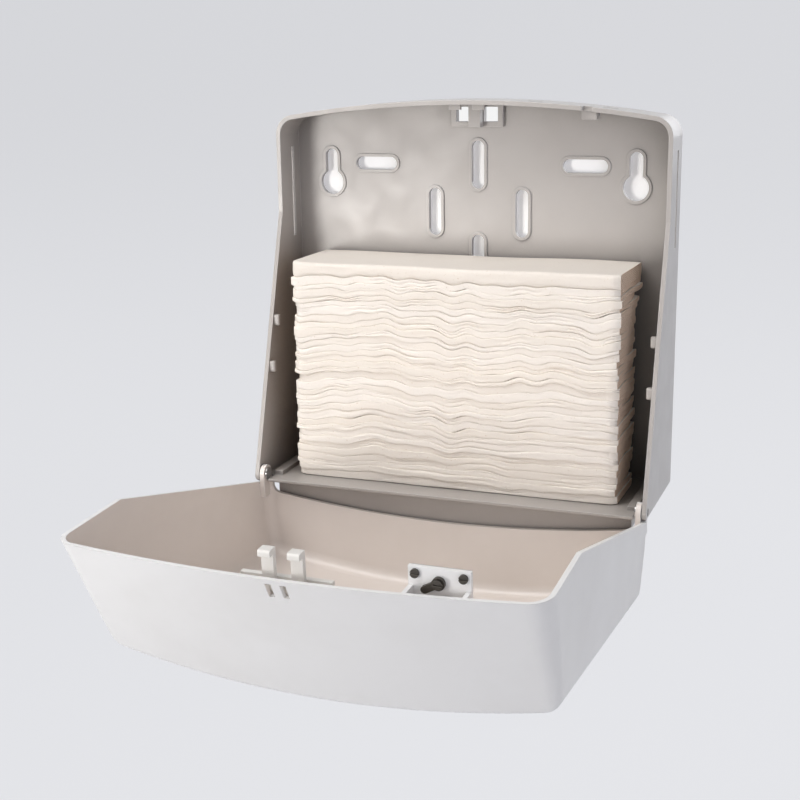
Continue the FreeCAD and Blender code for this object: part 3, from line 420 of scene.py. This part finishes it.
def makeTowels(setting):
    dice = np.random.default_rng(setting["seed"])
    leaves, columns = setting["leaves"], setting["columns"]
    across = np.linspace(-1, 1, columns)
    line = across[None, :] * setting["halfWidth"]
    depth = np.linspace(0, 1, setting["depthPoints"])
    x = np.broadcast_to(line.T, (columns, len(depth)))
    y = np.broadcast_to(setting["front"] + depth * (setting["rear"] - setting["front"]), x.shape)
    level = leafLevels(setting, dice, x, y)
    loopY, loopZ = leafLoops(setting, dice, line, level, leafEdges(setting, dice, line))
    loopX = spreadEnds(setting, dice, across, line, loopY)
    points = np.stack(np.broadcast_arrays(loopX, loopY, loopZ), axis=-1)

    loop = loopY.shape[-1]
    quads, threes, isCut = leafFaces(columns, loop, setting["nosePoints"])
    jumps = np.arange(leaves)[:, None, None] * columns * loop
    allQuads = (quads[None] + jumps).reshape(-1, 4)
    allThrees = (threes[None] + jumps).reshape(-1, 3)
    mesh = bpy.data.meshes.new("towelLeaves")
    mesh.from_pydata(points.reshape(-1, 3).tolist(), [], allQuads.tolist() + allThrees.tolist())
    mesh.shade_smooth()
    # two values on each face for the paper: which leaf it is, and whether it is on a cut end
    tone = dice.uniform(0, 1, leaves)
    leafTone = np.concatenate([np.repeat(tone, len(quads)), np.repeat(tone, len(threes))])
    cutEnd = np.concatenate([np.tile(isCut, leaves), np.ones(leaves * len(threes))])
    mesh.attributes.new("leafTone", "FLOAT", "FACE").data.foreach_set("value", leafTone.astype(np.float32))
    mesh.attributes.new("cutEnd", "FLOAT", "FACE").data.foreach_set("value", cutEnd.astype(np.float32))
    mesh.set_sharp_from_angle(angle=math.radians(setting["sharpAngle"]))
    stack = bpy.data.objects.new("towelLeaves", mesh)
    bpy.context.collection.objects.link(stack)
    return stack


tissue = {
    "name": "crepedTissuePaper", "light": "#F4EEE7", "shade": "#ECE4DA", "cut": "#FBDFC6", "speck": "#C9B49A",
    "cloudsPerMetre": 32.0, "specksPerMetre": 900.0, "pliesPerMetre": 260.0,
    "embossPitch": 0.0026, "fibreLength": 0.0035,
    "fibreDepth": 0.0006, "dimpleDepth": 0.0005, "plyDepth": 0.0007,
}


def tissuePaper(setting):
    # Creped, unprinted tissue: matt and a little fuzzy, with soft fibre clouds, a small embossed dimple and a
    # few darker fibres. Colour = leaf tone between two creams, then the browner cut edge, then specks.
    # Height = fibres + dimples + ply edges on the cut ends. Dimples are real size; fibres are drawn coarse.
    material, tree = newMaterial(setting["name"])
    light, shade = hexToLinear(setting["light"]), hexToLinear(setting["shade"])
    cutTone, speckTone = hexToLinear(setting["cut"]), hexToLinear(setting["speck"])
    place = addNode(tree, "ShaderNodeTexCoord").outputs["Object"]
    leaf = addNode(tree, "ShaderNodeAttribute", {"attribute_name": "leafTone"}).outputs["Fac"]
    cut = addNode(tree, "ShaderNodeAttribute", {"attribute_name": "cutEnd"}).outputs["Fac"]
    clouds = addNode(tree, "ShaderNodeTexNoise",
                     sockets={"Vector": place, "Scale": setting["cloudsPerMetre"], "Detail": 4.0})
    mixed = addNode(tree, "ShaderNodeMath", {"operation": "MULTIPLY_ADD"},
                    {0: clouds.outputs[0], 1: 0.9, 2: leaf})
    share = addNode(tree, "ShaderNodeMapRange",
                    sockets={"Value": mixed.outputs[0], "From Min": 0.25, "From Max": 1.75})
    cream = addNode(tree, "ShaderNodeMix", {"data_type": "RGBA"}, {0: share.outputs[0], 6: light, 7: shade})
    edged = addNode(tree, "ShaderNodeMix", {"data_type": "RGBA"}, {0: cut, 6: cream.outputs[2], 7: cutTone})
    specks = addNode(tree, "ShaderNodeTexNoise",
                     sockets={"Vector": place, "Scale": setting["specksPerMetre"], "Detail": 2.0})
    speckRamp = addNode(tree, "ShaderNodeValToRGB", sockets={0: specks.outputs[0]},
                        stops=[(0.68, 0.0), (0.76, 0.55)])
    colour = addNode(tree, "ShaderNodeMix", {"data_type": "RGBA"},
                     {0: speckRamp.outputs[0], 6: edged.outputs[2], 7: speckTone})

    fine = 1 / setting["fibreLength"]
    stretched = addNode(tree, "ShaderNodeMapping",
                        sockets={"Vector": place, "Scale": (fine * 0.6, fine, fine * 1.6)})
    fibres = addNode(tree, "ShaderNodeTexNoise", sockets={"Vector": stretched.outputs[0], "Scale": 1.6,
                                                          "Detail": 5.0, "Roughness": 0.65})
    dimples = addNode(tree, "ShaderNodeTexVoronoi", {"feature": "SMOOTH_F1"},
                      {"Vector": place, "Scale": 1 / setting["embossPitch"],
                       "Randomness": 0.35, "Smoothness": 0.6})
    plies = addNode(tree, "ShaderNodeTexWave", {"bands_direction": "Z"},
                    {"Vector": place, "Scale": setting["pliesPerMetre"], "Distortion": 2.2,
                     "Detail": 2.0, "Detail Scale": 0.8})
    plyEdges = addNode(tree, "ShaderNodeMath", {"operation": "MULTIPLY"}, {0: plies.outputs["Fac"], 1: cut})
    fibreBump = addNode(tree, "ShaderNodeBump",
                        sockets={"Height": fibres.outputs[0], "Strength": 0.55,
                                 "Distance": setting["fibreDepth"]})
    dimpleBump = addNode(tree, "ShaderNodeBump",
                         sockets={"Height": dimples.outputs["Distance"], "Strength": 0.35,
                                  "Distance": setting["dimpleDepth"], "Normal": fibreBump.outputs[0]})
    plyBump = addNode(tree, "ShaderNodeBump",
                      sockets={"Height": plyEdges.outputs[0], "Strength": 0.8,
                               "Distance": setting["plyDepth"], "Normal": dimpleBump.outputs[0]})
    rough = addNode(tree, "ShaderNodeMapRange",
                    sockets={"Value": fibres.outputs[0], "To Min": 0.84, "To Max": 0.98})
    surface = addNode(tree, "ShaderNodeBsdfPrincipled",
                      sockets={"Base Color": colour.outputs[2], "Roughness": rough.outputs[0], "IOR": 1.45,
                               "Specular IOR Level": 0.25, "Sheen Weight": 0.15, "Sheen Roughness": 0.6,
                               "Normal": plyBump.outputs[0]})
    addNode(tree, "ShaderNodeOutputMaterial", sockets={"Surface": surface.outputs[0]})
    return material


towelLeaves = makeTowels(towels)
towelLeaves.data.materials.append(tissuePaper(tissue))
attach(towelLeaves, "housing")
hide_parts("towel_stack")
print("towels folded:", len(towelLeaves.data.polygons), "faces")

# Plastics: two white ABS mouldings and a white acetal catch
# The inside tones are painted shade and warm reflected light on the inner faces of each moulding.
coverPlastic = {
    "name": "mouldedAbsCover", "outside": "#EEEEEE", "insideShadeAndBounce": "#EBE3DD", "centre": (0, -0.205, -0.012),
    "cloud": "#EAE8E5", "rub": "#F4F3F2", "roughLow": 0.30, "roughHigh": 0.44, "coat": 0.12,
    # the last share is how dark painted shade falls in the deep, sheltered gaps of this moulding
    "seed": 3.0, "paintedShade": 0.15,
}
housingPlastic = {
    "name": "mouldedAbsHousing", "outside": "#CBC9C8", "insideShadeAndBounce": "#B7B2AE", "centre": (0, -0.5, 0.13),
    "cloud": "#E4E1DE", "rub": "#F2F1F0", "roughLow": 0.32, "roughHigh": 0.48, "coat": 0.08,
    # the last share is how dark painted shade falls in the deep, sheltered gaps of this moulding
    "seed": 11.0, "paintedShade": 0.82,
}
catchPlastic = {
    "name": "mouldedAcetalCatch", "outside": "#E6E4E0", "insideShadeAndBounce": "#E6E4E0", "centre": (0, -0.3, 0.3),
    "cloud": "#DEDAD4", "rub": "#F2F1EF", "roughLow": 0.40, "roughHigh": 0.55, "coat": 0.0,
    "seed": 23.0, "paintedShade": 0.0,
}
# What the three share, in metres and per metre
mouldFinish = {
    "cloudsPerMetre": 13.0, "smearsPerMetre": 45.0, "hollowsPerMetre": 19.0, "grainPerMetre": 900.0,
    "hollowDepth": 0.0016, "grainDepth": 0.00022, "edgeRadius": 0.0006, "insideBand": (-0.002, 0.004),
    "paintedShadeColour": "#2E2622", "paintedShadeReach": 0.045,    # dark brown-grey painted shade in deep, sheltered gaps, found within this reach
}


def mouldedPlastic(setting, finish):
    # Opaque white plastic from a spark-eroded steel mould: even satin, with a fine grain, slow hollows over
    # the ribs and paler rubbed edges. Colour = outside tone, or on faces that look towards the centre an
    # inside tone of painted shade and warm reflected light, then slow clouds, then the rubbed edge, then
    # painted shade in the deep, sheltered gaps inside.
    # Height = grain 0.3 mm across, drawn 1.1 mm so that it shows, + slow hollows.
    material, tree = newMaterial(setting["name"])
    outside, insideShadeAndBounce, cloud, rub = (hexToLinear(setting[key]) for key in ("outside", "insideShadeAndBounce", "cloud", "rub"))
    coordinates = addNode(tree, "ShaderNodeTexCoord").outputs
    toCentre = addNode(tree, "ShaderNodeVectorMath", {"operation": "SUBTRACT"},
                       {0: setting["centre"], 1: coordinates["Object"]})
    facing = addNode(tree, "ShaderNodeVectorMath", {"operation": "DOT_PRODUCT"},
                     {0: toCentre.outputs[0], 1: coordinates["Normal"]})
    bandStart, bandEnd = finish["insideBand"]
    inner = addNode(tree, "ShaderNodeMapRange",
                    sockets={"Value": facing.outputs["Value"], "From Min": bandStart, "From Max": bandEnd})
    moved = addNode(tree, "ShaderNodeVectorMath", {"operation": "ADD"},
                    {0: coordinates["Object"], 1: (setting["seed"], 0, 0)}).outputs[0]
    clouds = addNode(tree, "ShaderNodeTexNoise", sockets={"Vector": moved, "Scale": finish["cloudsPerMetre"],
                                                          "Detail": 4.0, "Roughness": 0.55})
    cloudRamp = addNode(tree, "ShaderNodeValToRGB", sockets={0: clouds.outputs[0]},
                        stops=[(0.42, 0.0), (0.76, 0.34)])
    # painted shade and warm reflected light: faces that look towards the centre take the inside tone
    tone = addNode(tree, "ShaderNodeMix", {"data_type": "RGBA"}, {0: inner.outputs[0], 6: outside, 7: insideShadeAndBounce})
    clouded = addNode(tree, "ShaderNodeMix", {"data_type": "RGBA", "blend_type": "MULTIPLY"},
                      {0: cloudRamp.outputs[0], 6: tone.outputs[2], 7: cloud})
    soft = addNode(tree, "ShaderNodeBevel", {"samples": 4}, {"Radius": finish["edgeRadius"]})
    sharp = addNode(tree, "ShaderNodeNewGeometry").outputs["Normal"]
    agree = addNode(tree, "ShaderNodeVectorMath", {"operation": "DOT_PRODUCT"},
                    {0: soft.outputs[0], 1: sharp})
    edge = addNode(tree, "ShaderNodeMapRange", sockets={"Value": agree.outputs["Value"], "From Min": 0.985,
                                                        "From Max": 0.86, "To Max": 0.6})
    worn = addNode(tree, "ShaderNodeMix", {"data_type": "RGBA"},
                   {0: edge.outputs[0], 6: clouded.outputs[2], 7: rub})
    # painted shade: inner faces darken towards a dark brown-grey where ambient occlusion finds deep gaps
    shelter = addNode(tree, "ShaderNodeAmbientOcclusion", {"samples": 6}, {"Distance": finish["paintedShadeReach"]})
    deep = addNode(tree, "ShaderNodeMapRange", sockets={"Value": shelter.outputs["AO"], "From Min": 0.62,
                                                        "From Max": 0.1, "To Max": setting["paintedShade"]})
    paintedShadeMask = addNode(tree, "ShaderNodeMath", {"operation": "MULTIPLY"},
                    {0: deep.outputs[0], 1: inner.outputs[0]})
    colour = addNode(tree, "ShaderNodeMix", {"data_type": "RGBA"},
                     {0: paintedShadeMask.outputs[0], 6: worn.outputs[2], 7: hexToLinear(finish["paintedShadeColour"])})

    smears = addNode(tree, "ShaderNodeTexNoise", sockets={"Vector": moved, "Scale": finish["smearsPerMetre"],
                                                          "Detail": 5.0, "Distortion": 0.6})
    rough = addNode(tree, "ShaderNodeMapRange",
                    sockets={"Value": smears.outputs[0], "From Min": 0.3, "From Max": 0.7,
                             "To Min": setting["roughLow"], "To Max": setting["roughHigh"]})
    grain = addNode(tree, "ShaderNodeTexNoise",
                    sockets={"Vector": moved, "Scale": finish["grainPerMetre"], "Detail": 2.0})
    hollows = addNode(tree, "ShaderNodeTexNoise",
                      sockets={"Vector": moved, "Scale": finish["hollowsPerMetre"], "Detail": 1.0})
    hollowBump = addNode(tree, "ShaderNodeBump",
                         sockets={"Height": hollows.outputs[0], "Strength": 0.2,
                                  "Distance": finish["hollowDepth"], "Normal": soft.outputs[0]})
    grainBump = addNode(tree, "ShaderNodeBump",
                        sockets={"Height": grain.outputs[0], "Strength": 0.22,
                                 "Distance": finish["grainDepth"], "Normal": hollowBump.outputs[0]})
    surface = addNode(tree, "ShaderNodeBsdfPrincipled",
                      sockets={"Base Color": colour.outputs[2], "Roughness": rough.outputs[0], "IOR": 1.53,
                               "Coat Weight": setting["coat"], "Coat Roughness": 0.22,
                               "Normal": grainBump.outputs[0]})
    addNode(tree, "ShaderNodeOutputMaterial", sockets={"Surface": surface.outputs[0]})
    return material


dress(mouldedPlastic(coverPlastic, mouldFinish), "front_cover")
dress(mouldedPlastic(housingPlastic, mouldFinish), "back_housing")
dress(mouldedPlastic(catchPlastic, mouldFinish), "catch_fork")
print("plastics dressed")

# Metals: bright drawn pins, zinc-plated small parts and the blackened lock. Lines are counted per metre.
drawnSteel = {
    "name": "drawnSteel", "colour": "#C4C5C8", "second": "#A9A7A4", "roughLow": 0.20, "roughHigh": 0.38,
    "lines": (60.0, 2400.0, 2400.0), "wear": "#D8D8DA", "bump": 0.12,
}
zincPlate = {
    "name": "zincPlatedSteel", "colour": "#B7BEC6", "second": "#B5AF9F", "roughLow": 0.26, "roughHigh": 0.46,
    "lines": (420.0, 420.0, 420.0), "wear": "#D0D3D6", "bump": 0.10,
}
blackSteel = {
    "name": "blackenedSteel", "colour": "#625D57", "second": "#474542", "roughLow": 0.34, "roughHigh": 0.55,
    "lines": (500.0, 500.0, 500.0), "wear": "#77736D", "bump": 0.16,
}
steelFinish = {"mottlesPerMetre": 240.0, "edgeRadius": 0.00025, "lineDepth": 0.0001}


def smallSteel(setting, finish):
    # Bare, plated or oxide-black steel: a real metal, streaked along its drawing or mottled by its bath, and
    # brighter where handling has rubbed its edges. Colour = two tones by slow mottling, then the rubbed edge.
    # Height = the same lines.
    material, tree = newMaterial(setting["name"])
    first, second, wear = (hexToLinear(setting[key]) for key in ("colour", "second", "wear"))
    place = addNode(tree, "ShaderNodeTexCoord").outputs["Object"]
    drawn = addNode(tree, "ShaderNodeMapping", sockets={"Vector": place, "Scale": setting["lines"]})
    lines = addNode(tree, "ShaderNodeTexNoise",
                    sockets={"Vector": drawn.outputs[0], "Scale": 1.0, "Detail": 3.0})
    mottle = addNode(tree, "ShaderNodeTexNoise",
                     sockets={"Vector": place, "Scale": finish["mottlesPerMetre"], "Detail": 3.0})
    tone = addNode(tree, "ShaderNodeMix", {"data_type": "RGBA"}, {0: mottle.outputs[0], 6: first, 7: second})
    soft = addNode(tree, "ShaderNodeBevel", {"samples": 4}, {"Radius": finish["edgeRadius"]})
    sharp = addNode(tree, "ShaderNodeNewGeometry").outputs["Normal"]
    agree = addNode(tree, "ShaderNodeVectorMath", {"operation": "DOT_PRODUCT"},
                    {0: soft.outputs[0], 1: sharp})
    edge = addNode(tree, "ShaderNodeMapRange",
                   sockets={"Value": agree.outputs["Value"], "From Min": 0.985, "From Max": 0.86})
    colour = addNode(tree, "ShaderNodeMix", {"data_type": "RGBA"},
                     {0: edge.outputs[0], 6: tone.outputs[2], 7: wear})
    rough = addNode(tree, "ShaderNodeMapRange",
                    sockets={"Value": lines.outputs[0], "From Min": 0.3, "From Max": 0.7,
                             "To Min": setting["roughLow"], "To Max": setting["roughHigh"]})
    bump = addNode(tree, "ShaderNodeBump",
                   sockets={"Height": lines.outputs[0], "Strength": setting["bump"],
                            "Distance": finish["lineDepth"], "Normal": soft.outputs[0]})
    surface = addNode(tree, "ShaderNodeBsdfPrincipled",
                      sockets={"Base Color": colour.outputs[2], "Metallic": 1.0,
                               "Roughness": rough.outputs[0], "Normal": bump.outputs[0]})
    addNode(tree, "ShaderNodeOutputMaterial", sockets={"Surface": surface.outputs[0]})
    return material


dress(smallSteel(drawnSteel, steelFinish),
      "hinge_pin_right", "hinge_pin_left", "pin_ring_right", "pin_ring_left")
dress(smallSteel(zincPlate, steelFinish), "catch_screws", "lever_washer", "stop_plate")
dress(smallSteel(blackSteel, steelFinish), "lock_lever", "lever_pivot", "tab_screws")
print("metals dressed")
